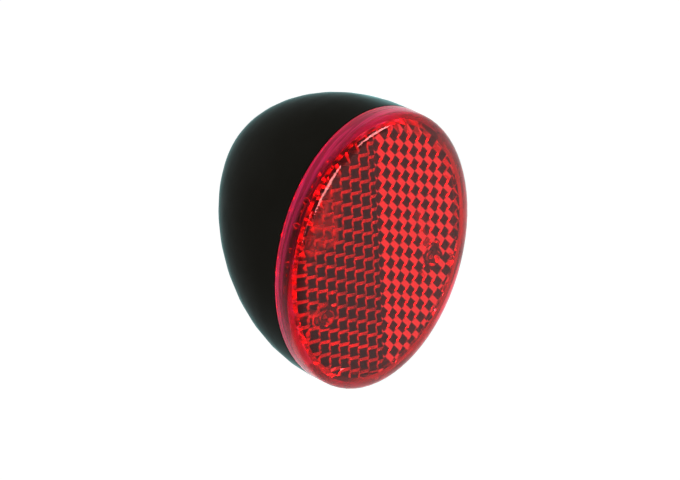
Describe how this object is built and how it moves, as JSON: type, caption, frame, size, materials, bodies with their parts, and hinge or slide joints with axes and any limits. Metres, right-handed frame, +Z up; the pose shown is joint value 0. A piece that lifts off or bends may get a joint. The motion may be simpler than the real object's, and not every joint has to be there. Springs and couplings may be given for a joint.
{
  "type": "bicycle rear reflector",
  "caption": "Oval red bicycle rear reflector with a corner-cube lens on a deep black bowl, bolted on through a flat rear pad.",
  "frame": {"origin": "middle of the flat rear pad, on the axis of the mounting screw hole", "axes": "+Y out of the rear pad towards the mudguard or carrier, the lens faces -Y, +Z up, +X to the right seen from the front"},
  "size_m": [0.0544, 0.0407, 0.065],
  "materials": {
    "black_plastic": "moulded black plastic with a soft satin sheen",
    "red_lens": "clear red moulded plastic, polished in front, with prisms behind",
    "seal_rubber": "matt black rubber",
    "zinc_steel": "bright zinc plating",
    "plain_steel": "plain steel"
  },
  "bodies": {
    "root": {"housing": "black_plastic", "lens": "red_lens", "lens_seal": "seal_rubber", "nut_plate": "zinc_steel", "mounting_nut": "plain_steel", "plate_screw": "zinc_steel", "lens_screw_left": "zinc_steel", "lens_screw_right": "zinc_steel"}
  },
  "joints": []
}
